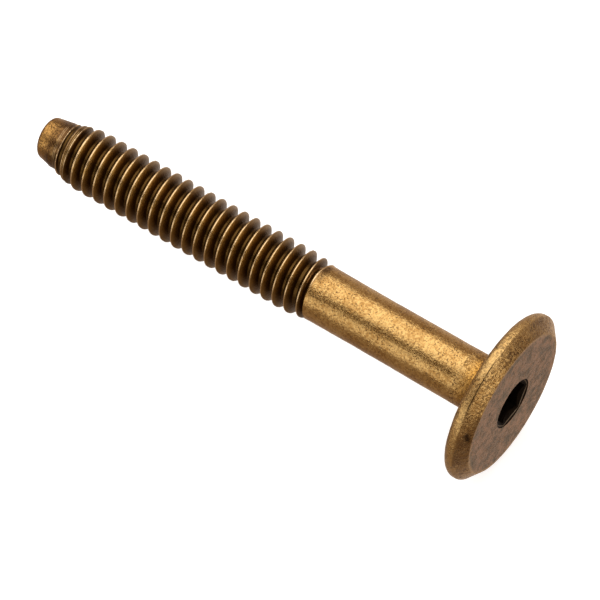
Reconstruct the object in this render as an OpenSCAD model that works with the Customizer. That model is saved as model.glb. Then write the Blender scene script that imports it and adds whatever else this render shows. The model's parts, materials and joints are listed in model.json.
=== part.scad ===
// Furniture connector bolt with a wide, flat, bevelled head and a hex socket.
// Millimetres. The bolt lies along X, with its head towards +X and its point towards -X.
// The origin is on the bolt's axis, in the plane of the bearing face under the head.
// The real bolt is one forging: its four formed sections are drawn as four solids that
// meet face to face on flat planes across the axis.

/* [Head] */
// Diameter of the head
head_d = 16.9; // [15.5:0.1:20]
// Thickness of the head, from bearing face to outer face
head_t = 2.15; // [2:0.05:3]
// Diameter of the flat outer face, inside the bevel
face_d = 14.4; // [12:0.1:14.8]
// Height of the upright rim above the bearing face, where the bevel starts
rim_t = 1.15; // [1:0.05:1.5]
// Radius of the rim's edge at the bearing face
rim_edge_r = 0.8; // [0.1:0.05:0.8]
// Radius of the soft edge between the rim and the bevel
bevel_edge_r = 0.3; // [0.1:0.05:0.3]

/* [Hex socket] */
// Size of the socket across its flats
socket_af = 4; // [3:0.5:5]
// Depth of the socket's flats below the outer face
socket_depth = 3.4; // [3:0.1:3.7]
// Diameter of the round chamfer at the socket's mouth
socket_mouth_d = 5.05; // [4.7:0.05:6]
// Turn of the socket about the bolt's axis
socket_turn = 29; // [0:1:60]

/* [Shank] */
// Diameter of the plain shank
shank_d = 5.5; // [5.2:0.05:5.8]
// Length of the plain shank under the head
shank_length = 19; // [8:0.5:40]
// Radius of the fillet between the shank and the head
fillet_r = 0.35; // [0.1:0.05:0.6]
// Length of shank that is drawn with the head, as its neck, round the end of the socket
neck_length = 3; // [2.9:0.1:4]

/* [Thread] */
// Outside diameter of the 1/4 inch thread
thread_d = 6.25; // [6.1:0.01:6.35]
// Pitch of the thread, at 20 turns to the inch
thread_pitch = 1.27; // [1:0.01:1.5]
// Number of turns between the point and the plain shank
thread_turns = 23; // [10:1:40]
// Length over which the thread grows to its full height next to the point
lead_in = 4.4; // [1:0.1:6]
// Length over which the thread fades away next to the shank
run_out = 2.6; // [1:0.1:4]

/* [Point] */
// Length of the plain point beyond the thread
point_length = 1.96; // [1:0.01:4]
// Diameter of the point at its outer end
point_end_d = 4.3; // [3.5:0.05:4.6]
// Radius of the edge around the point's end
point_edge_r = 0.5; // [0.2:0.05:0.8]

/* [Hidden] */

brass = "#a67c45";
dark_brass = "#7d5b31";

// Sides of a full turn of the helix, and of every plain round surface.
helix_sides = 32;
round_sides = 96;
arc_steps = 6;

// Radii that the sections share where they meet.
head_r = head_d / 2;
face_r = face_d / 2;
shank_r = shank_d / 2;
thread_r = thread_d / 2;

// A 60 degree thread form: 17/24 of the sharp height deep, with a flat crest an eighth
// of the pitch wide and the rest of the pitch left flat at the root.
thread_depth = thread_pitch * 17 / 24 * sqrt(3) / 2;
root_r = thread_r - thread_depth;
crest_part = 1 / 8;
flank_part = thread_depth * tan(30) / thread_pitch;

// The profile's corners along one pitch, as parts of the pitch from the end of a root.
ROW_PARTS = [0, flank_part, flank_part + crest_part, 2 * flank_part + crest_part];
ROWS = len(ROW_PARTS);
// Rows of a full helical surface. The first and last turns close against the flat ends.
last_row = ROWS * (thread_turns - 1);
thread_length = thread_pitch * thread_turns;
// Turn of the thread about the bolt's axis.
thread_turn = 235;
// Length over which the root climbs to the shank's surface.
root_run_out = 0.6;

// Distance from the middle of the hexagon to its corners.
socket_corner_r = socket_af / 2 / cos(30);
socket_mouth_r = socket_mouth_d / 2;
// A 45 degree chamfer at the mouth, and a 118 degree cone at the bottom of the socket.
socket_chamfer = socket_mouth_r - socket_af / 2;
punch_tip = socket_af / 2 / tan(118 / 2);
overlap = 0.5;

// Turns what is drawn up the Z axis so that it lies along X, from a place on that axis.
module along_x(x) {
    translate([x, 0, 0])
        rotate([0, 90, 0])
            children();
}

// Points on an arc about a centre, from one angle to another.
function arc(centre, radius, from, to) = [
    for (step = [0 : arc_steps])
        let (angle = from + (to - from) * step / arc_steps)
            centre + radius * [cos(angle), sin(angle)]
];

// ---------- Head ----------

// Angle of the bevel's outward normal above the radial direction.
bevel_angle = atan2(head_r - face_r, head_t - rim_t);

// Half of the head's section: neck, fillet, bearing face, rounded rim, bevel, outer face.
module head_section() {
    soft_x = head_r - bevel_edge_r;
    soft_z = rim_t - bevel_edge_r * tan(bevel_angle / 2);
    polygon(concat(
        [[0, -neck_length], [shank_r, -neck_length]],
        arc([shank_r + fillet_r, -fillet_r], fillet_r, 180, 90),
        arc([head_r - rim_edge_r, rim_edge_r], rim_edge_r, -90, 0),
        arc([soft_x, soft_z], bevel_edge_r, 0, bevel_angle),
        [[face_r, head_t], [0, head_t]]
    ));
}

// The socket: a hexagonal hole with a conical bottom and a chamfered round mouth.
module socket() {
    socket_floor = head_t - socket_depth;
    chamfer_floor = head_t - socket_chamfer;
    translate([0, 0, socket_floor])
        rotate(socket_turn)
            cylinder(r = socket_corner_r, h = socket_depth + overlap, $fn = 6);
    translate([0, 0, socket_floor - punch_tip])
        cylinder(r1 = 0, r2 = socket_af / 2, h = punch_tip, $fn = round_sides);
    translate([0, 0, chamfer_floor])
        cylinder(r1 = socket_af / 2, r2 = socket_mouth_r, h = socket_chamfer,
                 $fn = round_sides);
    translate([0, 0, head_t])
        cylinder(r = socket_mouth_r, h = overlap, $fn = round_sides);
}

module head() {
    color(brass)
        along_x(0)
            difference() {
                rotate_extrude($fn = round_sides)
                    head_section();
                socket();
            }
}

// ---------- Plain shank ----------

module shank() {
    color(brass)
        along_x(-shank_length)
            cylinder(r = shank_r, h = shank_length - neck_length, $fn = round_sides);
}

// ---------- Thread ----------

// 0 at the start of a stretch and 1 from its end on, easing in towards the end.
function ease(distance, stretch) = 1 - pow(1 - min(1, max(0, distance / stretch)), 2);

// Radius of the thread's root at a height above the point: it climbs to the shank.
function root_radius(z) =
    shank_r - (shank_r - root_r) * ease(thread_length - z, root_run_out);

// Radius of the crest: it grows out of the point and fades into the shank.
function crest_radius(z) = min(
    root_r + (thread_r - root_r) * ease(z, lead_in),
    shank_r + (thread_r - shank_r) * ease(thread_length - z, run_out)
);

// Height of a row's point where the thread is full, on one of the sides of the turn.
function full_row_z(side, row) =
    thread_pitch * (floor(row / ROWS) + ROW_PARTS[row % ROWS] + side / helix_sides);

// Where the thread isn't full height its flanks are cut short and its crest is wider,
// so the crest's two corners stand back from their full places, down the flanks.
function step_back(side, row) =
    let (z = full_row_z(side, row))
        (thread_r - crest_radius(z)) * tan(30);
function row_z(side, row) =
    full_row_z(side, row)
    + (row % ROWS == 1 ? -step_back(side, row) : 0)
    + (row % ROWS == 2 ? step_back(side, row) : 0);
function row_r(side, row) =
    let (is_crest = row % ROWS == 1 || row % ROWS == 2)
        is_crest ? crest_radius(full_row_z(side, row)) : root_radius(row_z(side, row));

function on_circle(side, radius, z) =
    let (angle = 360 * side / helix_sides)
        [radius * cos(angle), radius * sin(angle), z];
function row_point(side, row) = on_circle(side, row_r(side, row), row_z(side, row));

// The points are stored side by side. Side 0 runs on past the last row to the flat end,
// because the surface comes round to it again one turn higher.
side_rows = last_row + 1;
first_side_rows = last_row + ROWS + 1;
function index(side, row) =
    side == helix_sides ? row + ROWS :
    side == 0 ? row : first_side_rows + (side - 1) * side_rows + row;
low_ring = first_side_rows + (helix_sides - 1) * side_rows;
high_ring = low_ring + helix_sides - 1;
function low_index(side) = side % helix_sides == 0 ? index(0, 0) : low_ring + side - 1;
function high_index(side) =
    side % helix_sides == 0 ? index(helix_sides, last_row) : high_ring + side - 1;

// A right-hand thread as one closed skin between two flat ends.
module thread_skin() {
    points = concat(
        [for (row = [0 : first_side_rows - 1]) row_point(0, row)],
        [for (side = [1 : helix_sides - 1], row = [0 : last_row]) row_point(side, row)],
        [for (side = [1 : helix_sides - 1]) on_circle(side, root_r, 0)],
        [for (side = [1 : helix_sides - 1]) on_circle(side, shank_r, thread_length)]
    );
    strips = [
        for (side = [0 : helix_sides - 1], row = [0 : last_row - 1])
            [index(side, row), index(side, row + 1),
             index(side + 1, row + 1), index(side + 1, row)]
    ];
    low_strip = [
        for (side = [0 : helix_sides - 2])
            side == 0
                ? [index(0, 0), index(1, 0), low_index(1)]
                : [low_index(side), index(side, 0), index(side + 1, 0), low_index(side + 1)]
    ];
    high_strip = [
        for (side = [1 : helix_sides - 1])
            side == helix_sides - 1
                ? [index(side, last_row), high_index(side), high_index(side + 1)]
                : [index(side, last_row), high_index(side),
                   high_index(side + 1), index(side + 1, last_row)]
    ];
    low_step = [concat(
        [low_index(helix_sides - 1), index(helix_sides - 1, 0)],
        [for (row = [ROWS : -1 : 0]) index(0, row)]
    )];
    high_step = [concat(
        [high_index(1), index(1, last_row)],
        [for (row = [0 : ROWS]) index(0, last_row + row)]
    )];
    low_end = [[for (side = [0 : helix_sides - 1]) low_index(side)]];
    high_end = [[for (side = [helix_sides - 1 : -1 : 0]) high_index(side)]];
    polyhedron(points, concat(strips, low_strip, high_strip,
                              low_step, high_step, low_end, high_end));
}

module threaded_section() {
    color(dark_brass)
        along_x(-shank_length - thread_length)
            rotate(thread_turn)
                thread_skin();
}

// ---------- Point ----------

// Half of the point's section, widening from its rounded end to the root of the thread.
module point_section() {
    end_r = point_end_d / 2;
    polygon(concat(
        [[0, -point_length]],
        arc([end_r - point_edge_r, point_edge_r - point_length], point_edge_r, -90, 0),
        [[root_r, 0], [0, 0]]
    ));
}

module point() {
    color(brass)
        along_x(-shank_length - thread_length)
            rotate_extrude($fn = round_sides)
                point_section();
}

head();
shank();
threaded_section();
point();
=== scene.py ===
"""Antique brass furniture connector bolt: materials, fine mesh, lights and camera.

Everything is in metres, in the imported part's frame: the bolt lies along X with its head
towards +X, the origin is in the plane of the bearing face under the head, and Z is up.
Angles round the bolt's axis are measured from +Y towards +Z.
"""

import json
import math

import bpy
import numpy as np
from mathutils import Matrix, Vector


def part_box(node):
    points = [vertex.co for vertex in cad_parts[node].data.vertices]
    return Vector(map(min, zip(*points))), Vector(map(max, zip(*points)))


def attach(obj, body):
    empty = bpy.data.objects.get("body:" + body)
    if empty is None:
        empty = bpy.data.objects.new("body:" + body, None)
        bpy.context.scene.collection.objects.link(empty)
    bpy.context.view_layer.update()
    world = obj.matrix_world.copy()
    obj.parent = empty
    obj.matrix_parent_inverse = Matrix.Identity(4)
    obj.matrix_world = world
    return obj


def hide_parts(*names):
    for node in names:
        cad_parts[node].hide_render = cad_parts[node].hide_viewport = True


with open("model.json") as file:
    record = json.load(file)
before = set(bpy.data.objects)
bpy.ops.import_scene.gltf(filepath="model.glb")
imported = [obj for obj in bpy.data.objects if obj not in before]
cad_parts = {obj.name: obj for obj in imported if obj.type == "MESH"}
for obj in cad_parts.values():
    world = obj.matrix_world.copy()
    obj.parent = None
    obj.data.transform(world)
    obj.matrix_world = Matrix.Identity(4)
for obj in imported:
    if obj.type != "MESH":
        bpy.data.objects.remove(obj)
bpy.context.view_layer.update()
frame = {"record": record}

MM = 0.001

# ---------------------------------------------------------------- sizes, in millimetres

mounts = {mount["name"]: mount for mount in frame["record"]["mounts"]}


def span_x(node):
    """Lowest and highest X of a CAD node, in millimetres."""
    low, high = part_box(node)
    return low[0] / MM, high[0] / MM


neck_end, head_top = span_x("head")
thread_end, shank_end = span_x("threaded_section")
point_end = span_x("point")[0]
head_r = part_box("head")[1][2] / MM
shank_r = mounts["shank_in_panel_hole"]["dims"]["r_mm"]
thread_r = mounts["external_thread"]["dims"]["r_mm"]
socket_depth = mounts["hex_socket"]["dims"]["length_mm"]

# Head and socket.
face_r = 7.2
rim_t = 1.15
rim_edge_r = 0.8
bevel_edge_r = 0.3
face_edge_r = 0.12
face_edge_inset = 0.03
fillet_r = 0.35
neck_reach = 4.0
socket_af = 4.0
socket_mouth_r = 5.05 / 2
socket_mouth_edge_r = 0.06
socket_turn = 29.0
socket_floor = head_top - socket_depth
socket_cone = socket_af / 2 / math.tan(math.radians(118 / 2))

# Shank: it is drawn in a little between its middle and the thread.
waist_end = -7.0
waist_depth = 0.035

# Thread. Its crests grow over the lead-in and fade over the run-out.
pitch = 1.27
thread_depth = pitch * 17 / 24 * math.sqrt(3) / 2
root_r = thread_r - thread_depth
crest_part = 1 / 9
lead_in_start = 0.3
lead_in = 3.4
run_out = 2.8
thread_turn = 235.0
thread_taper = 0.065
thread_length = shank_end - thread_end
turns = round(thread_length / pitch)

# Point. Its end is sheared out of square by up to twice the skew.
point_end_r = 2.09
point_edge_r = 0.5
point_skew = 0.17

# The innermost ring of a flat end, round the point in its middle.
inner_r = 0.6
tip_inner_r = 0.4
# Nothing nearer to the axis than this is drawn in or made uneven.
core_r = 1.0

# Angle round the axis that faces the camera, where the marks on the metal are placed.
NEAR = 118.9

# ---------------------------------------------------------------- camera


def look_from(azimuth, elevation):
    """Unit vector from the object towards a camera at this azimuth and elevation."""
    a, e = math.radians(azimuth), math.radians(elevation)
    return Vector((math.sin(a) * math.cos(e), -math.cos(a) * math.cos(e), math.sin(e)))


def make_camera():
    """A long lens from above and to the right, 0.42 m from the middle of the bolt."""
    target = Vector((-18.25, -4.27, 4.66)) * MM
    distance = 0.41896
    back = look_from(34.77, 56.1)
    data = bpy.data.cameras.new("camera")
    data.sensor_width = 36
    data.lens = 278.3
    data.clip_start = 0.01
    data.clip_end = 20
    camera = bpy.data.objects.new("camera", data)
    camera.location = target + back * distance
    camera.rotation_mode = "QUATERNION"
    camera.rotation_quaternion = (-back).to_track_quat("-Z", "Y")
    bpy.context.collection.objects.link(camera)
    bpy.context.scene.camera = camera


# ---------------------------------------------------------------- smooth random fields

# Side of the block of random numbers.
LATTICE = 32


def lattice(seed):
    """A block of random numbers that repeats, for noise()."""
    return np.random.RandomState(seed).uniform(-1, 1, (LATTICE, LATTICE, LATTICE))


def noise(points, size, seed):
    """Smooth noise from about -1 to 1 at points in millimetres, with features of a size."""
    values = lattice(seed)
    scaled = points / size
    cell = np.floor(scaled).astype(int)
    part = scaled - cell
    part = part * part * (3 - 2 * part)
    total = np.zeros(scaled.shape[:-1])
    for corner in np.ndindex(2, 2, 2):
        weight = np.ones(scaled.shape[:-1])
        for axis in range(3):
            weight = weight * (part[..., axis] if corner[axis] else 1 - part[..., axis])
        at = (cell + corner) % LATTICE
        total += weight * values[at[..., 0], at[..., 1], at[..., 2]]
    return total


def smooth_step(value, low, high):
    """0 below low, 1 above high, and a smooth rise between."""
    t = np.clip((value - low) / (high - low), 0, 1)
    return t * t * (3 - 2 * t)


def window(value, rise, fall):
    """1 between two places, with a smooth rise over one stretch and fall over another."""
    return smooth_step(value, *rise) * (1 - smooth_step(value, *fall))


def bump_at(distance, width):
    """A round bump, 1 at no distance and close to 0 beyond its width."""
    return np.exp(-((distance / width) ** 2))


def from_near_side(angle):
    """Degrees round the axis from the side that faces the camera, from -180 to 180."""
    return (angle - NEAR + 180) % 360 - 180


# ---------------------------------------------------------------- meshes


def to_points(x, r, angle):
    """Points in millimetres from a place along the axis, a radius and an angle."""
    a = np.radians(angle)
    return np.stack(np.broadcast_arrays(x, r * np.cos(a), r * np.sin(a)), axis=-1)


def make_piece(name, points, faces, sharp_angle=40):
    """A mesh object from points in millimetres, shaded smooth except at sharp edges."""
    mesh = bpy.data.meshes.new(name)
    mesh.from_pydata((points * MM).tolist(), [], faces)
    mesh.validate()
    mesh.shade_smooth()
    mesh.set_sharp_from_angle(angle=math.radians(sharp_angle))
    piece = bpy.data.objects.new(name, mesh)
    bpy.context.collection.objects.link(piece)
    return piece


def set_attribute(piece, name, values):
    """Stores one number for each vertex, for a material to read."""
    layer = piece.data.attributes.new(name, "FLOAT", "POINT")
    layer.data.foreach_set("value", np.asarray(values, dtype=np.float32).ravel())


def set_ring_attribute(piece, name, values):
    """Stores numbers given for each ring and angle. Each end point takes its ring's first."""
    set_attribute(piece, name, np.append(values, [values[0, 0], values[-1, 0]]))


def rings_to_faces(rings, sides):
    """Faces between closed rings, with a single vertex at each end of the row."""
    faces = []
    first_pole = rings * sides
    last_pole = first_pole + 1
    around = [(side, (side + 1) % sides) for side in range(sides)]
    faces += [(first_pole, b, a) for a, b in around]
    for ring in range(rings - 1):
        low, high = ring * sides, (ring + 1) * sides
        faces += [(low + a, low + b, high + b, high + a) for a, b in around]
    top = (rings - 1) * sides
    faces += [(last_pole, top + a, top + b) for a, b in around]
    return faces


def revolve(name, x, r, angles, first_x, last_x, sharp_angle=40):
    """A closed solid from rings: x and r are arrays of rings by angles."""
    body = to_points(x, r, angles).reshape(-1, 3)
    poles = np.array([[first_x, 0, 0], [last_x, 0, 0]])
    points = np.concatenate([body, poles])
    return make_piece(name, points, rings_to_faces(len(x), len(angles)), sharp_angle)


def arc(centre, radius, start, end, steps):
    """Points on an arc, as pairs of x and r. 0 degrees is outward from the axis, and
    90 degrees is towards the head."""
    angles = np.radians(np.linspace(start, end, steps + 1))
    return [(centre[0] + radius * math.sin(a), centre[1] + radius * math.cos(a))
            for a in angles]


def line(start, end, steps):
    """Points between two pairs of x and r, without the two ends."""
    return [(start[0] + (end[0] - start[0]) * i / steps,
             start[1] + (end[1] - start[1]) * i / steps) for i in range(1, steps)]


def outline_normals(x, r):
    """Outward directions of a turned outline, from its neighbours in the row."""
    dx = np.gradient(x, axis=0)
    dr = np.gradient(r, axis=0)
    length = np.maximum(np.hypot(dx, dr), 1e-9)
    return np.stack([-dr / length, dx / length], axis=-1)


def joined(*stretches, step=0.12):
    """An outline from arcs and points, with straight stretches filled in at a step."""
    outline = []
    for stretch in stretches:
        if outline:
            gap = math.dist(outline[-1], stretch[0])
            outline += line(outline[-1], stretch[0], max(1, round(gap / step)))
        outline += stretch
    return outline


# ---------------------------------------------------------------- head

HEAD_SIDES = 384
bevel_angle = math.degrees(math.atan2(head_r - face_r, head_top - rim_t))


def head_outline():
    """The turned outline of the head, from the neck's end to the edge of the socket."""
    soft_x = rim_t - bevel_edge_r * math.tan(math.radians(bevel_angle / 2))
    face_edge = (head_top - face_edge_r, face_r - face_edge_inset)
    mouth_edge = (head_top - socket_mouth_edge_r, socket_mouth_r + socket_mouth_edge_r)
    return joined(
        [(neck_end, inner_r)],
        [(neck_end, shank_r)],
        arc((-fillet_r, shank_r + fillet_r), fillet_r, 180, 90, 8),
        arc((rim_edge_r, head_r - rim_edge_r), rim_edge_r, -90, 0, 10),
        arc((soft_x, head_r - bevel_edge_r), bevel_edge_r, 0, bevel_angle, 20),
        arc(face_edge, face_edge_r, bevel_angle, 90, 6),
        arc(mouth_edge, socket_mouth_edge_r, 90, 135, 3),
    )


# A corner of the socket, in this script's angles.
SOCKET_CORNER = socket_turn - 90


def hexagon_r(angles):
    """Distance from the axis to the socket's flats at each angle."""
    return socket_af / 2 / np.cos(np.radians((angles - SOCKET_CORNER) % 60 - 30))


def waist(x):
    """How far the shank is drawn in at a place along it."""
    along = np.clip((x - shank_end) / (waist_end - shank_end), 0, 1)
    return waist_depth * np.sin(math.pi * along)


CREASE_WIDTH = 0.04
CREASE_DEPTH = 0.06

# Small dents: degrees from the near side, radius, place along X, size and depth.
HEAD_DENTS = [
    (37, 7.7, 1.66, 0.26, 0.10),
    (40, 7.5, 1.82, 0.20, 0.06),
    (-48, 7.45, 1.86, 0.13, 0.05),
    (-26, 8.35, 0.15, 0.16, 0.05),
    (24, 8.35, 0.15, 0.18, 0.06),
    (22, 5.2, 2.1, 0.10, 0.03),
    (-30, 4.4, 2.1, 0.09, 0.02),
]


def head_marks(points, x, r, from_near):
    """How far marks stand in from the skin, in millimetres, and how dark they are painted:
    painted shade in the crease and the dents.
    """
    depth = np.zeros(r.shape)
    dark = np.zeros(r.shape)
    # A cold lap: a fine crease where the rim folds over into the bevel.
    crease_x = rim_t - 0.04 + 0.02 * noise(points, 3.0, 21)
    crease_arc = window(from_near, (-20, -14), (15, 22))
    crease = bump_at(x - crease_x, CREASE_WIDTH) * crease_arc * (r > head_r - 0.5)
    depth += CREASE_DEPTH * crease
    dark += crease
    for turn, radius, place, size, dent_depth in HEAD_DENTS:
        sideways = np.radians(from_near - turn) * radius
        inward = np.hypot(r - radius, x - place)
        dent = bump_at(np.hypot(sideways * 0.7, inward), size)
        depth += dent_depth * dent
        dark += dent
    return depth, np.clip(dark, 0, 1)


# Rows down the socket's chamfer, as parts of its width, and the row painted lighter as a
# highlight line.
CHAMFER_ROWS = (0.20, 0.30, 0.40, 0.7, 1)
HIGHLIGHT_ROW = 1


def socket_rings(mouth_x, mouth_r, hexagon):
    """Rings down the socket's chamfer, its flats and the cone at its bottom."""
    # The chamfer meets the flats at a height that follows the hexagon.
    chamfer_x = head_top - (socket_mouth_r - hexagon)
    rows_x, rows_r = [], []
    for part in CHAMFER_ROWS:
        rows_x.append(mouth_x + (chamfer_x - mouth_x) * part)
        rows_r.append(mouth_r + (hexagon - mouth_r) * part)
    for part in np.linspace(0.06, 1, 12):
        rows_x.append(chamfer_x + (socket_floor - chamfer_x) * part)
        rows_r.append(hexagon)
    for part in (0.75, 0.5, 0.25):
        rows_x.append(np.full(HEAD_SIDES, socket_floor - socket_cone * (1 - part)))
        rows_r.append(hexagon * part)
    return rows_x, rows_r


def rim_arc(from_near):
    """The short arc in the rim's middle that is darker and not worn bright."""
    return bump_at(from_near - 4, 14)


def head_painted_shade(points, x, r, from_near, neck):
    """Where the head is painted brown as shade: on arcs of the bevel away from the near side,
    the rim's foot and the neck's lower side; and a darker short arc in the rim's middle.
    """
    bevel = (r > face_r) * smooth_step(x, rim_t - 0.1, rim_t + 0.1)
    stain_and_shade = bevel * (window(from_near, (15, 30), (60, 90))
                     + window(-from_near, (8, 26), (72, 95)))
    stain_and_shade += 0.9 * rim_arc(from_near) * smooth_step(r, head_r - 0.2, head_r - 0.1)
    stain_and_shade += 0.7 * (1 - smooth_step(x, 0.15, 0.55)) * smooth_step(r, head_r - 1.0, head_r - 0.7)
    stain_and_shade += 1.5 * neck * smooth_step(from_near, -5, 25)
    return stain_and_shade * (0.6 + 0.4 * noise(points, 1.2, 13))


def rubbed_rim_and_edge_highlight(points, x, r, from_near):
    """Where handling has worn the head's rim bright, and a painted highlight: a broken bright
    line round the face's edge.
    """
    rim = 0.4 * smooth_step(r, head_r - 0.35, head_r - 0.12)
    broken = smooth_step(noise(points, 0.8, 15), -0.3, 0.4)
    # Painted highlight: a broken bright line round the face's edge.
    face_edge = 0.5 * bump_at(r - face_r, 0.05) * (x > head_top - 0.1) * broken
    return (rim + face_edge) * (1 - 0.7 * rim_arc(from_near))


def make_head():
    """The head with its neck and socket, and the numbers that place its colours."""
    angles = np.arange(HEAD_SIDES) * 360 / HEAD_SIDES + SOCKET_CORNER
    outline = np.array(head_outline())
    x = np.repeat(outline[:, :1], HEAD_SIDES, axis=1)
    r = np.repeat(outline[:, 1:], HEAD_SIDES, axis=1)
    r = r - waist(x) * (x < 0) * (r > core_r)
    socket_x, socket_r = socket_rings(x[-1], r[-1], hexagon_r(angles))
    # Rows are numbered from the socket's mouth on, so those of the outline are negative.
    rows = np.arange(len(x) + len(socket_x))[:, None] - len(x)
    x = np.concatenate([x, socket_x])
    r = np.concatenate([r, socket_r])
    points = to_points(x, r, angles)
    from_near = from_near_side(angles)[None, :]
    depth, dark = head_marks(points, x, r, from_near)
    uneven = 0.012 * noise(points, 1.7, 11) + 0.009 * noise(points, 0.6, 12)
    marked = (rows < 0) & (x > -0.01)
    standing = np.where(marked, uneven - depth, 0)
    normal = outline_normals(x, r)
    x = np.minimum(x + standing * normal[..., 0], head_top)
    r = np.minimum(r + standing * normal[..., 1], head_r)
    piece = revolve("head_forged", x, r, angles, neck_end, socket_floor - socket_cone)
    neck = (rows < 0) * (x < 0.01) * (r < neck_reach) * smooth_step(x, -3.0, -1.0)
    everywhere = np.ones(r.shape)
    set_ring_attribute(piece, "mark_shade", dark)
    set_ring_attribute(piece, "face", smooth_step(x, head_top - 0.05, head_top - 0.02)
                       * smooth_step(face_r - r, 0.0, 0.4))
    set_ring_attribute(piece, "rub_and_highlight", rubbed_rim_and_edge_highlight(points, x, r, from_near))
    set_ring_attribute(piece, "chamfer", (rows == HIGHLIGHT_ROW) * everywhere)
    set_ring_attribute(piece, "stain_and_shade", head_painted_shade(points, x, r, from_near, neck))
    set_ring_attribute(piece, "neck", neck)
    set_ring_attribute(piece, "socket", (rows >= -1) * everywhere)
    return piece


# ---------------------------------------------------------------- shank and point

ROUND_SIDES = 192


def turned_skin(outline, first_x, last_x, roughness, seed):
    """Rings of a plain turned solid, with a skin that is slightly uneven between its ends."""
    angles = np.arange(ROUND_SIDES) * 360 / ROUND_SIDES
    outline = np.array(outline)
    x = np.repeat(outline[:, :1], ROUND_SIDES, axis=1)
    r = np.repeat(outline[:, 1:], ROUND_SIDES, axis=1)
    points = to_points(x, r, angles)
    uneven = roughness * (noise(points, 1.5, seed) + 0.8 * noise(points, 0.6, seed + 1))
    between = window(x, (first_x, first_x + 0.6), (last_x - 0.6, last_x))
    r = r + (uneven - roughness * 1.5) * between * (r > core_r)
    return x, r, angles


def groove_dark_patch(distance, from_near):
    """A brown, darker patch beside the end of the last groove, on one side of the bolt."""
    return 0.9 * smooth_step(distance, -0.7, -0.1) * window(from_near, (-75, -60), (-28, -8))


def make_shank():
    """The plain shank between the neck and the thread."""
    outline = joined([(shank_end, inner_r)], [(shank_end, shank_r)],
                     [(neck_end, shank_r)], [(neck_end, inner_r)])
    x, r, angles = turned_skin(outline, shank_end, neck_end, 0.010, 31)
    r = r - waist(x) * (r > core_r)
    piece = revolve("shank_drawn", x, r, angles, shank_end, neck_end)
    stain_and_shade = groove_dark_patch(shank_end - x, from_near_side(angles)[None, :])
    set_ring_attribute(piece, "stain_and_shade", stain_and_shade)
    return piece


# The seam of the first, unformed crest: two fine lips that run across the point.
LIP_PLACES = (-0.42, -0.24)
LIP_HEIGHT = 0.03
WRINKLE_DEPTH = 0.014


def make_point():
    """The plain point, sheared a little out of square at its end."""
    outline = joined(
        [(point_end, tip_inner_r)],
        arc((point_end + point_edge_r, point_end_r - point_edge_r), point_edge_r, -90, 0, 10),
        [(thread_end, root_r)], [(thread_end, inner_r)], step=0.04)
    x, r, angles = turned_skin(outline, point_end, thread_end, 0.008, 41)
    from_near = from_near_side(angles)[None, :]
    # The end stands out least 60 degrees above the near side.
    skew = point_skew * (1 - np.cos(np.radians(from_near + 60))) * r / point_end_r
    x = x + skew * (1 - smooth_step(x, point_end, thread_end))
    # Lips and fine wrinkles climb round the point as the thread does.
    climb = pitch * from_near / 360
    fade = smooth_step(thread_end - x, 0, 0.08) * smooth_step(from_near, -60, 0) * (r > core_r)
    around = np.radians(angles)[None, :] * point_end_r
    wrinkle_at = np.stack(np.broadcast_arrays(
        (x - climb) / 0.10, np.cos(around) / 0.8, np.sin(around) / 0.8), -1)
    wrinkled = smooth_step(x, point_end + 0.5, point_end + 1.0) * fade
    r = r - WRINKLE_DEPTH * np.clip(noise(wrinkle_at, 1.0, 43) - 0.1, 0, 1) * wrinkled
    for place in LIP_PLACES:
        r = r + LIP_HEIGHT * bump_at(x - (thread_end + place + climb), 0.06) * fade
    piece = revolve("point_turned", x, r, angles, point_end + point_skew, thread_end)
    set_ring_attribute(piece, "stain_and_shade", smooth_step(x, thread_end - 1.1, thread_end - 0.2))
    return piece


# ---------------------------------------------------------------- thread

THREAD_SIDES = 108
THREAD_ROWS = 40
CREST_CROWDING = 0.4
# The least distance between a row's point and the thread's ends.
END_GAP = 0.003
# Fall of a flank for each millimetre away from the crest.
FLANK = 1 / math.tan(math.radians(30))


def ease(distance, stretch):
    """0 at the start of a stretch and 1 past its end, easing in."""
    return 1 - (1 - np.clip(distance / stretch, 0, 1)) ** 2


def soft_min(a, b, width):
    """The lower of two heights, with a rounded corner where they cross."""
    gap = np.clip(0.5 + (b - a) / (2 * width), 0, 1)
    return b + (a - b) * gap - width * gap * (1 - gap)


def soft_max(a, b, width):
    """The higher of two heights, with a rounded corner where they cross."""
    return -soft_min(-a, -b, width)


# Height of the first crest on side 0, in pitches: below the thread's end, so it starts later.
first_crest = thread_depth * math.tan(math.radians(30)) / pitch + crest_part / 2 - 1

# Where a crest isn't full, a hollow lies between two lips, and a fine double seam runs
# beside it. The lip towards the point is lower.
HOLLOW_DEPTH = 0.10
LOW_LIP_DROP = 0.03
SEAM_HEIGHT = 0.03
SEAM_PLACES = (0.15, 0.03)
# The upturned edge of the last groove, and the fold in the groove as a part of its height.
EDGE_HEIGHT = 0.045
FOLD = 0.6
NICK_DEPTH = 0.03


def last_groove_end(turn):
    """Crest number at which the last groove ends, for a part of a turn from side 0.

    The groove runs out a turn later on the far side. Part of its end is pushed over
    towards the head.
    """
    past = smooth_step(turn, 0.2, 0.5)
    pushed = 0.3 * past * (1 - smooth_step(turn, 0.68, 0.86))
    return turns + 0.45 - past + pushed


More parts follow.
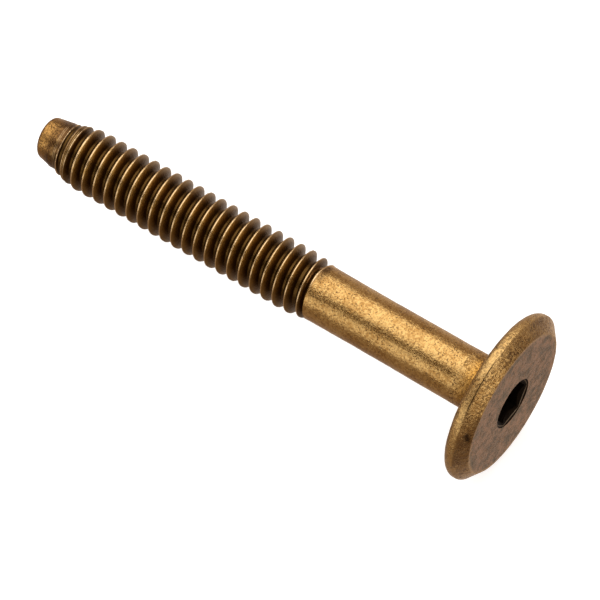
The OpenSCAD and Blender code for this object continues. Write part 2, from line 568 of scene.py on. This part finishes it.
def thread_surface(z, crest_number):
    """The thread's radius, how worn and how bare it is, and whether it faces the point.

    z is the height above the point. crest_number is whole on the crests, 0 on the first,
    and half way between them on the roots.
    """
    to_shank = thread_length - z
    place = (crest_number - np.round(crest_number)) * pitch
    away = np.abs(place)
    top = thread_r - thread_taper * to_shank / thread_length
    peak = shank_r + (thread_r - shank_r) * ease(to_shank, run_out)
    limit = np.minimum(root_r + (top - root_r) * ease(z - lead_in_start, lead_in), peak)
    crest_half = crest_part * pitch / 2
    open_half = (peak - limit) / FLANK + crest_half

    # Where the crest isn't full, the metal hasn't closed over it.
    unfilled = smooth_step(open_half - crest_half, 0.06, 0.20) * smooth_step(to_shank, 3, 5)
    hollow = HOLLOW_DEPTH * smooth_step(open_half - away, 0.10, 0.18)
    low_side = smooth_step(-place / open_half, 0.1, 0.8)
    seam = sum(bump_at(place + part * pitch, 0.04) for part in SEAM_PLACES)
    roof = limit + unfilled * (SEAM_HEIGHT * seam - hollow - LOW_LIP_DROP * low_side)
    crest = soft_min(peak + FLANK * (crest_half - away), roof, 0.06)

    # The last groove is cut off by the shank. For part of a turn its edge stands up as a
    # narrow lip, with a fine fold beside it.
    turn = z / pitch - first_crest - crest_number
    beyond = crest_number - last_groove_end(turn)
    closed = smooth_step(beyond, -0.1, 0.02)
    floor = np.maximum(root_r + (shank_r - root_r) * closed,
                       shank_r - (shank_r - root_r) * ease(to_shank, 0.1))
    lipped = window(turn, (0.54, 0.62), (0.90, 0.95)) * (1 - smooth_step(to_shank, 0.9, 1.2))
    edge = (window(beyond, (-0.05, 0.0), (0.09, 0.16))
            + FOLD * bump_at(beyond + 0.27, 0.04)) * lipped
    radius = soft_max(crest, floor, 0.04) + EDGE_HEIGHT * edge

    # Wear takes the side of the crest towards the point more than the other.
    leaning = np.clip(place, -0.1, 0.1) * (1 - unfilled)
    worn = smooth_step(radius - leaning + 0.03 * unfilled, limit - 0.055, limit - 0.005)
    lip = smooth_step(away - open_half, -0.15, -0.09) * (1 - 0.6 * low_side)
    full = 1 - unfilled * (1 - lip)
    risen = smooth_step(limit - root_r, 0.0, 0.05)
    wear = worn * full * risen * (1 - closed) + 0.35 * unfilled * np.clip(seam, 0, 1) + edge

    # The first half turn and the metal past the last groove are as bare as the shank.
    bare = np.maximum(1 - smooth_step(crest_number, 0.28, 0.34), 1 - smooth_step(z, 0.1, 0.5))
    bare = np.maximum(bare * smooth_step(to_shank, 1, 2), closed)
    return radius, np.clip(wear, 0, 1), bare, place < 0


def thread_column(side):
    """Row numbers on a side of the thread, and their heights above the point.

    A row is a helix, so it rises from side to side, and the rows crowd on the crests.
    """
    row = np.arange(-2 * THREAD_ROWS, THREAD_ROWS * (turns + 2))
    part = (row % THREAD_ROWS) / THREAD_ROWS - 0.5
    crowding = CREST_CROWDING * np.sin(2 * math.pi * part) / (2 * math.pi)
    z = pitch * (row // THREAD_ROWS + part - crowding + first_crest + side / THREAD_SIDES)
    inside = (z > END_GAP) & (z < thread_length - END_GAP)
    return row[inside], z[inside]


def thread_faces(columns, starts):
    """Faces between the sides of the thread, and its two flat ends.

    columns holds each side's row numbers. starts holds each side's first point, and past
    the last side, the number of points.
    """
    faces = []
    for side in range(THREAD_SIDES):
        after = (side + 1) % THREAD_SIDES
        rows_a, rows_b = columns[side], columns[after]
        if after == 0:
            rows_b = rows_b - THREAD_ROWS
        low_a, high_a = starts[side], starts[side + 1] - 1
        low_b, high_b = starts[after], starts[after + 1] - 1
        a = low_a + 1 - rows_a[0]
        b = low_b + 1 - rows_b[0]
        # A row may start on the second side only, or end on the first only.
        faces.append([low_a, low_b] + [b + row for row in range(rows_b[0], rows_a[0] + 1)]
                     + [a + rows_a[0]])
        faces += [(a + row, b + row, b + row + 1, a + row + 1)
                  for row in range(rows_a[0], rows_b[-1])]
        faces.append([a + rows_b[-1], b + rows_b[-1], high_b, high_a]
                     + [a + row for row in range(rows_a[-1], rows_b[-1], -1)])
    faces.append([starts[side] for side in range(THREAD_SIDES - 1, -1, -1)])
    faces.append([starts[side + 1] - 1 for side in range(THREAD_SIDES)])
    return [tuple(int(corner) for corner in face) for face in faces]


def make_thread():
    """The rolled thread as one closed skin, and the numbers that place its colours."""
    columns = [thread_column(side) for side in range(THREAD_SIDES)]
    heights = [np.concatenate([[0], z, [thread_length]]) for _, z in columns]
    sides = np.concatenate([np.full(len(z), side) for side, z in enumerate(heights)])
    starts = np.cumsum([0] + [len(z) for z in heights])
    z = np.concatenate(heights)
    crest_number = z / pitch - first_crest - sides / THREAD_SIDES
    radius, wear, bare, tip_side = thread_surface(z, crest_number)
    angle = 360 * sides / THREAD_SIDES + thread_turn - 90
    smooth = to_points(thread_end + z, radius, angle)
    uneven = 0.010 * noise(smooth, 0.9, 51) + 0.006 * noise(smooth, 0.35, 52)
    nicks = smooth_step(noise(smooth, 0.55, 53), 0.55, 0.8) * wear
    ends = smooth_step(z, 0, 0.3) * smooth_step(thread_length - z, 0, 0.3)
    radius = np.minimum(radius + (uneven - NICK_DEPTH * nicks) * ends, thread_r)
    radius = np.where(z <= 0, root_r, np.where(z >= thread_length, shank_r, radius))
    points = to_points(thread_end + z, radius, angle)
    faces = thread_faces([rows for rows, _ in columns], starts)
    piece = make_piece("thread_rolled", points, faces, 60)
    set_attribute(piece, "wear", wear * (1 - nicks))
    set_attribute(piece, "bare", bare)
    from_near = from_near_side(angle)
    stain_and_shade = 1 - smooth_step(z, 1, 3) + groove_dark_patch(thread_length - z, from_near) * (1 - wear)
    set_attribute(piece, "stain_and_shade", stain_and_shade)
    rise = np.clip((radius - root_r) / (thread_r - root_r), 0, 1)
    # Painted light and shade: flanks that face the point are painted lighter towards their top,
    # and those that face the head darker. Low rise paints the roots dark with patina and
    # painted shade.
    shade = np.where(tip_side, smooth_step(rise, 0.3, 0.9), -0.25)
    set_attribute(piece, "rise", rise + shade)
    # Painted sheen: a pale reflection painted on the thread's higher parts on its upper side.
    set_attribute(piece, "top_sheen", bump_at(from_near + 88, 30) * smooth_step(rise, 0.45, 0.95))
    return piece


# ---------------------------------------------------------------- materials

# Distance between two seeds along the fourth axis of the noise.
SEED_STEP = 7.3


class Graph:
    """A short way to add nodes to one material. self.place is in millimetres."""

    def __init__(self, name):
        self.material = bpy.data.materials.new(name)
        self.material.use_nodes = True
        self.tree = self.material.node_tree
        self.shader = self.tree.nodes["Principled BSDF"]
        coordinates = self.add("ShaderNodeTexCoord")
        millimetres = self.add("ShaderNodeVectorMath", {0: coordinates.outputs["Object"]},
                               operation="MULTIPLY")
        millimetres.inputs[1].default_value = [1 / MM] * 3
        self.place = millimetres.outputs[0]

    def add(self, kind, inputs=None, **settings):
        """A node with its settings, and its inputs linked or set to values."""
        node = self.tree.nodes.new(kind)
        for key, value in settings.items():
            setattr(node, key, value)
        for key, value in (inputs or {}).items():
            if isinstance(value, bpy.types.NodeSocket):
                self.tree.links.new(value, node.inputs[key])
            else:
                node.inputs[key].default_value = value
        return node

    def noise(self, size, seed, detail=4, rough=0.6):
        """Noise from 0 to 1 with features of a size in millimetres."""
        node = self.add("ShaderNodeTexNoise",
                        {"Vector": self.place, "W": seed * SEED_STEP, "Scale": 1 / size,
                         "Detail": detail, "Roughness": rough}, noise_dimensions="4D")
        return node.outputs["Fac"]

    def ramp(self, value, low, high, bottom=0.0, top=1.0):
        """Maps a stretch of values to a smooth rise between two others."""
        node = self.add("ShaderNodeMapRange",
                        {"Value": value, "From Min": low, "From Max": high,
                         "To Min": bottom, "To Max": top}, interpolation_type="SMOOTHSTEP")
        return node.outputs["Result"]

    def math(self, operation, a, b):
        """A sum, product or the like of two values."""
        return self.add("ShaderNodeMath", {0: a, 1: b}, operation=operation).outputs[0]

    def mix(self, amount, a, b):
        """Blends two colours."""
        node = self.add("ShaderNodeMix", data_type="RGBA")
        for key, value in (("Factor_Float", amount), ("A_Color", a), ("B_Color", b)):
            socket = next(s for s in node.inputs if s.identifier == key)
            if isinstance(value, bpy.types.NodeSocket):
                self.tree.links.new(value, socket)
            else:
                socket.default_value = value
        return next(s for s in node.outputs if s.identifier == "Result_Color")

    def attribute(self, name):
        """A number that the mesh stores for each vertex."""
        return self.add("ShaderNodeAttribute", attribute_name=name).outputs["Fac"]

    def metal(self, colour, roughness, height, bump_mm):
        """Links a metal's colour, roughness and bump, and returns the material."""
        shader = self.shader
        shader.inputs["Metallic"].default_value = 1.0
        links = self.tree.links
        links.new(colour, shader.inputs["Base Color"])
        links.new(roughness, shader.inputs["Roughness"])
        bump = self.add("ShaderNodeBump", {"Strength": 1.0, "Distance": bump_mm * MM,
                                           "Height": height})
        links.new(bump.outputs["Normal"], shader.inputs["Normal"])
        return self.material


# Toned brass: plain, deep, on the thread's worn crests, worn bright on the head's rim and
# painted as a highlight round its face's edge, at the neck.
BRASS = (0.64, 0.405, 0.148, 1)
DEEP_BRASS = (0.40, 0.215, 0.062, 1)
BRIGHT_BRASS = (0.70, 0.49, 0.265, 1)
YELLOW_BRASS = (0.70, 0.47, 0.20, 1)
ORANGE_BRASS = (0.66, 0.33, 0.055, 1)
# Pits; stains and painted shade; painted shade in the crease and dents; patina and painted
# shade in the thread's grooves, and flank brown; the socket painted near black as shade, and a
# painted highlight on its chamfer.
BROWN = (0.13, 0.065, 0.024, 1)
STAIN_AND_SHADE = (0.12, 0.060, 0.022, 1)
MARK_SHADE = (0.030, 0.014, 0.006, 1)
ROOT_PATINA_AND_SHADE = (0.090, 0.048, 0.013, 1)
FLANK_BROWN = (0.30, 0.17, 0.043, 1)
SOCKET_SHADE = (0.012, 0.008, 0.005, 1)
CHAMFER_HIGHLIGHT = (0.30, 0.24, 0.17, 1)
# The dull outer face, and a painted pale sheen, a reflection, on the thread's upper side.
TAUPE = (0.46, 0.28, 0.17, 1)
DARK_TAUPE = (0.15, 0.116, 0.07, 1)
PAINTED_SHEEN = (0.60, 0.50, 0.38, 1)


def antique_brass(g, deep, pitted, pit_size=0.15):
    """Brass toned unevenly, with dark pits: returns its colour and pits.

    deep and pitted are the noise levels above which brass turns deep and pits open.
    """
    cloud = g.noise(2.4, detail=3, seed=1)
    grain = g.noise(0.26, detail=3, rough=0.7, seed=2)
    tone = g.math("ADD", g.math("MULTIPLY", cloud, 0.35), g.math("MULTIPLY", grain, 0.65))
    colour = g.mix(g.ramp(tone, deep, deep + 0.2), BRASS, DEEP_BRASS)
    pits = g.ramp(g.noise(pit_size, detail=2, seed=3), pitted, pitted + 0.08)
    thick = g.ramp(g.noise(1.1, detail=2, seed=9), 0.40, 0.66, 0.35, 1.0)
    pits = g.math("MULTIPLY", pits, thick)
    return g.mix(pits, colour, BROWN), pits


def darkened_in_patches(g, colour):
    """Brass darkened in mottled brown patches: the stains at the start of the thread and on the
    point, and the patch beside the end of the last groove.
    """
    blotches = g.ramp(g.noise(0.32, detail=3, rough=0.7, seed=17), 0.38, 0.55, 0.6, 1.0)
    return g.mix(g.math("MULTIPLY", g.attribute("stain_and_shade"), blotches), colour, STAIN_AND_SHADE)


def skin_height(g, size, pits, depth):
    """Height of a cast-looking skin: a soft hammered grain with the pits sunk into it."""
    grain = g.noise(size, detail=4, rough=0.66, seed=5)
    return g.math("SUBTRACT", grain, g.math("MULTIPLY", pits, depth))


def head_material():
    """Brass on the rim and bevel with painted shade on parts of them, a dull mottled outer
    face, and a socket painted near black as shade with a painted highlight line on its chamfer.
    """
    g = Graph("antique_brass_head")
    colour, pits = antique_brass(g, 0.40, 0.50, 0.20)
    face = g.attribute("face")
    rub_and_highlight = g.attribute("rub_and_highlight")
    neck = g.attribute("neck")
    flecks = g.ramp(g.noise(0.2, detail=2, seed=18), 0.54, 0.62, 0.0, 0.65)
    flecks = g.math("MULTIPLY", flecks, g.math("SUBTRACT", 1.0, neck))
    # The rim worn bright, a painted highlight line round the face's edge, and random bright
    # flecks.
    rub_highlight_and_flecks = g.math("MAXIMUM", g.math("MULTIPLY", rub_and_highlight, 0.8), flecks)
    colour = g.mix(rub_highlight_and_flecks, colour, YELLOW_BRASS)
    colour = g.mix(g.math("MULTIPLY", neck, 0.8), colour, ORANGE_BRASS)
    # Stain and painted shade: painted shade on the head's bevel, rim and neck.
    colour = g.mix(g.math("MULTIPLY", g.attribute("stain_and_shade"), 0.75), colour, STAIN_AND_SHADE)
    neck_pits = g.math("MULTIPLY", neck, g.ramp(g.noise(0.24, detail=3, seed=16), 0.50, 0.58))
    colour = g.mix(neck_pits, colour, BROWN)
    patches = g.noise(1.0, detail=3, rough=0.6, seed=14)
    fine = g.noise(0.15, detail=4, rough=0.8, seed=4)
    dull_tone = g.math("ADD", g.math("MULTIPLY", patches, 0.42), g.math("MULTIPLY", fine, 0.58))
    dull = g.mix(g.ramp(dull_tone, 0.44, 0.56), TAUPE, DARK_TAUPE)
    colour = g.mix(face, colour, dull)
    # Painted shade: the crease and the dents are painted dark.
    colour = g.mix(g.attribute("mark_shade"), colour, MARK_SHADE)
    # Painted shade: the socket's inside is painted near black.
    colour = g.mix(g.attribute("socket"), colour, SOCKET_SHADE)
    # Painted highlight: a lighter line on one row of the socket's chamfer.
    colour = g.mix(g.attribute("chamfer"), colour, CHAMFER_HIGHLIGHT)
    rough = g.math("ADD", g.math("MULTIPLY", face, 0.12), 0.25)
    rough = g.math("SUBTRACT", rough, g.math("MULTIPLY", rub_and_highlight, 0.08))
    rough = g.math("ADD", rough, g.math("MULTIPLY", pits, 0.1))
    rough = g.math("ADD", rough, g.math("MULTIPLY", g.attribute("socket"), 0.3))
    height = skin_height(g, 0.26, pits, 0.4)
    height = g.math("MULTIPLY", height, g.math("SUBTRACT", 1.0, g.math("MULTIPLY", rub_and_highlight, 0.8)))
    return g.metal(colour, rough, height, 0.10)


def shank_material(name="antique_brass_shank", deep=0.41, pitted=0.56):
    """Smooth brass with fine pits, for the shank and the point."""
    g = Graph(name)
    colour, pits = antique_brass(g, deep, pitted)
    colour = darkened_in_patches(g, colour)
    rough = g.math("ADD", g.math("MULTIPLY", pits, 0.12), 0.18)
    return g.metal(colour, rough, skin_height(g, 0.24, pits, 0.5), 0.045)


def thread_material():
    """Grooves darkened with patina and painted shade, and flanks painted lighter where they
    face the point and darker where they face the head, between worn, bright crests.
    """
    g = Graph("antique_brass_thread")
    brass, pits = antique_brass(g, 0.40, 0.58)
    wear = g.attribute("wear")
    bare = g.attribute("bare")
    breaks = g.ramp(g.noise(0.35, detail=3, seed=6), 0.38, 0.52, 0.45, 1.0)
    bright = g.math("MULTIPLY", wear, breaks)
    # Flanks: dark roots with patina and painted shade, painted lighter up to brass where they
    # face the point, and random grime.
    grime = g.math("MULTIPLY", g.noise(0.45, detail=4, rough=0.7, seed=7), 0.7)
    clean_and_lit = g.math("SUBTRACT", g.math("ADD", g.attribute("rise"), 0.3), grime)
    flank = g.mix(g.ramp(clean_and_lit, 0.0, 1.0), ROOT_PATINA_AND_SHADE, FLANK_BROWN)
    flank = g.mix(g.ramp(clean_and_lit, 1.0, 1.6), flank, BRASS)
    brass = darkened_in_patches(g, brass)
    colour = g.mix(bare, flank, brass)
    colour = g.mix(bright, colour, BRIGHT_BRASS)
    # Painted pale sheen on the thread's upper side.
    colour = g.mix(g.math("MULTIPLY", g.attribute("top_sheen"), 0.45), colour, PAINTED_SHEEN)
    flank_rough = g.ramp(clean_and_lit, 1.0, 1.6, 0.31, 0.48)
    rough = g.ramp(g.math("MAXIMUM", bright, bare), 0, 1, flank_rough, 0.22)
    height = skin_height(g, 0.22, g.math("MULTIPLY", pits, bare), 0.4)
    return g.metal(colour, rough, height, 0.04)


def floor_material():
    """White acrylic lit from below, as product photographs use."""
    material = bpy.data.materials.new("studio_acrylic")
    material.use_nodes = True
    shader = material.node_tree.nodes["Principled BSDF"]
    shader.inputs["Base Color"].default_value = (0.6, 0.6, 0.6, 1)
    shader.inputs["Roughness"].default_value = 0.9
    shader.inputs["Emission Color"].default_value = (1, 1, 1, 1)
    shader.inputs["Emission Strength"].default_value = 0.75
    return material


# ---------------------------------------------------------------- studio


def make_floor():
    """The pale floor that the head's rim rests on."""
    bpy.ops.mesh.primitive_plane_add(size=6, location=(0, 0, -head_r * MM))
    floor = bpy.context.object
    floor.name = "studio_floor"
    floor.data.materials.append(floor_material())
    floor.visible_glossy = False


LIGHT_DISTANCE = 0.5


def softbox(name, angle, lean, size, radiance):
    """A soft rectangular light: angle round the bolt from +Y towards +Z, and lean to +X."""
    a, b = math.radians(angle), math.radians(lean)
    direction = Vector((math.sin(b), math.cos(a) * math.cos(b), math.sin(a) * math.cos(b)))
    data = bpy.data.lights.new(name, "AREA")
    data.shape = "RECTANGLE"
    data.size, data.size_y = size
    data.energy = radiance * math.pi * size[0] * size[1]
    light = bpy.data.objects.new(name, data)
    light.location = Vector((-20, 0, 0)) * MM + direction * LIGHT_DISTANCE
    across = direction.cross(Vector((1, 0, 0))).normalized()
    light.rotation_mode = "QUATERNION"
    light.rotation_quaternion = Matrix(
        (across.cross(direction), across, direction)).transposed().to_quaternion()
    light.visible_camera = False
    bpy.context.collection.objects.link(light)


def make_world():
    """A dim warm room, with a grey table top below and a lighter wall behind (+Y)."""
    world = bpy.data.worlds.new("studio")
    world.use_nodes = True
    tree = world.node_tree

    def add(kind, **settings):
        node = tree.nodes.new(kind)
        for key, value in settings.items():
            setattr(node, key, value)
        return node

    slope = add("ShaderNodeVectorMath", operation="DOT_PRODUCT")
    slope.inputs[1].default_value = (0, -0.8, 0.6)
    tree.links.new(add("ShaderNodeTexCoord").outputs["Generated"], slope.inputs[0])
    place = add("ShaderNodeMapRange")
    place.inputs["From Min"].default_value = -1
    tree.links.new(slope.outputs["Value"], place.inputs["Value"])
    ramp = add("ShaderNodeValToRGB")
    stops = ramp.color_ramp.elements
    levels = ((0.02, (0.72, 0.61, 0.53, 1)), (0.12, (0.53, 0.43, 0.36, 1)),
              (0.25, (0.38, 0.29, 0.23, 1)), (0.75, (0.33, 0.25, 0.185, 1)),
              (0.93, (0.12, 0.078, 0.040, 1)))
    for _ in levels[2:]:
        stops.new(0.5)
    for stop, (where, colour) in zip(stops, levels):
        stop.position = where
        stop.color = colour
    tree.links.new(place.outputs["Result"], ramp.inputs["Fac"])
    tree.links.new(ramp.outputs["Color"], tree.nodes["Background"].inputs["Color"])
    # Past the edge of the floor the camera sees plain white.
    white = add("ShaderNodeBackground")
    white.inputs["Color"].default_value = (1, 1, 1, 1)
    either = add("ShaderNodeMixShader")
    tree.links.new(add("ShaderNodeLightPath").outputs["Is Camera Ray"], either.inputs[0])
    tree.links.new(tree.nodes["Background"].outputs[0], either.inputs[1])
    tree.links.new(white.outputs[0], either.inputs[2])
    tree.links.new(either.outputs[0], tree.nodes["World Output"].inputs["Surface"])
    bpy.context.scene.world = world


def make_lights():
    """A broad light overhead, a fill from the front and a card beside the head."""
    softbox("key", angle=80, lean=-20, size=(1.1, 0.73), radiance=1.5)
    softbox("front_fill", angle=167, lean=-20, size=(0.9, 0.36), radiance=1.05)
    softbox("end_card", angle=90, lean=75, size=(0.24, 0.36), radiance=2.0)


# ---------------------------------------------------------------- build

make_camera()

head = make_head()
shank = make_shank()
thread = make_thread()
point = make_point()
metals = {
    head: ("head", "head_metal", head_material()),
    shank: ("shank", "shank_metal", shank_material()),
    thread: ("threaded_section", "thread_metal", thread_material()),
    point: ("point", "point_metal", shank_material("antique_brass_point", 0.27, 0.52)),
}
for piece, (node, slot, material) in metals.items():
    piece.data.materials.append(material)
    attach(piece, "root")
    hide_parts(node)

make_floor()
make_world()
make_lights()
bpy.context.scene.view_settings.view_transform = "Standard"
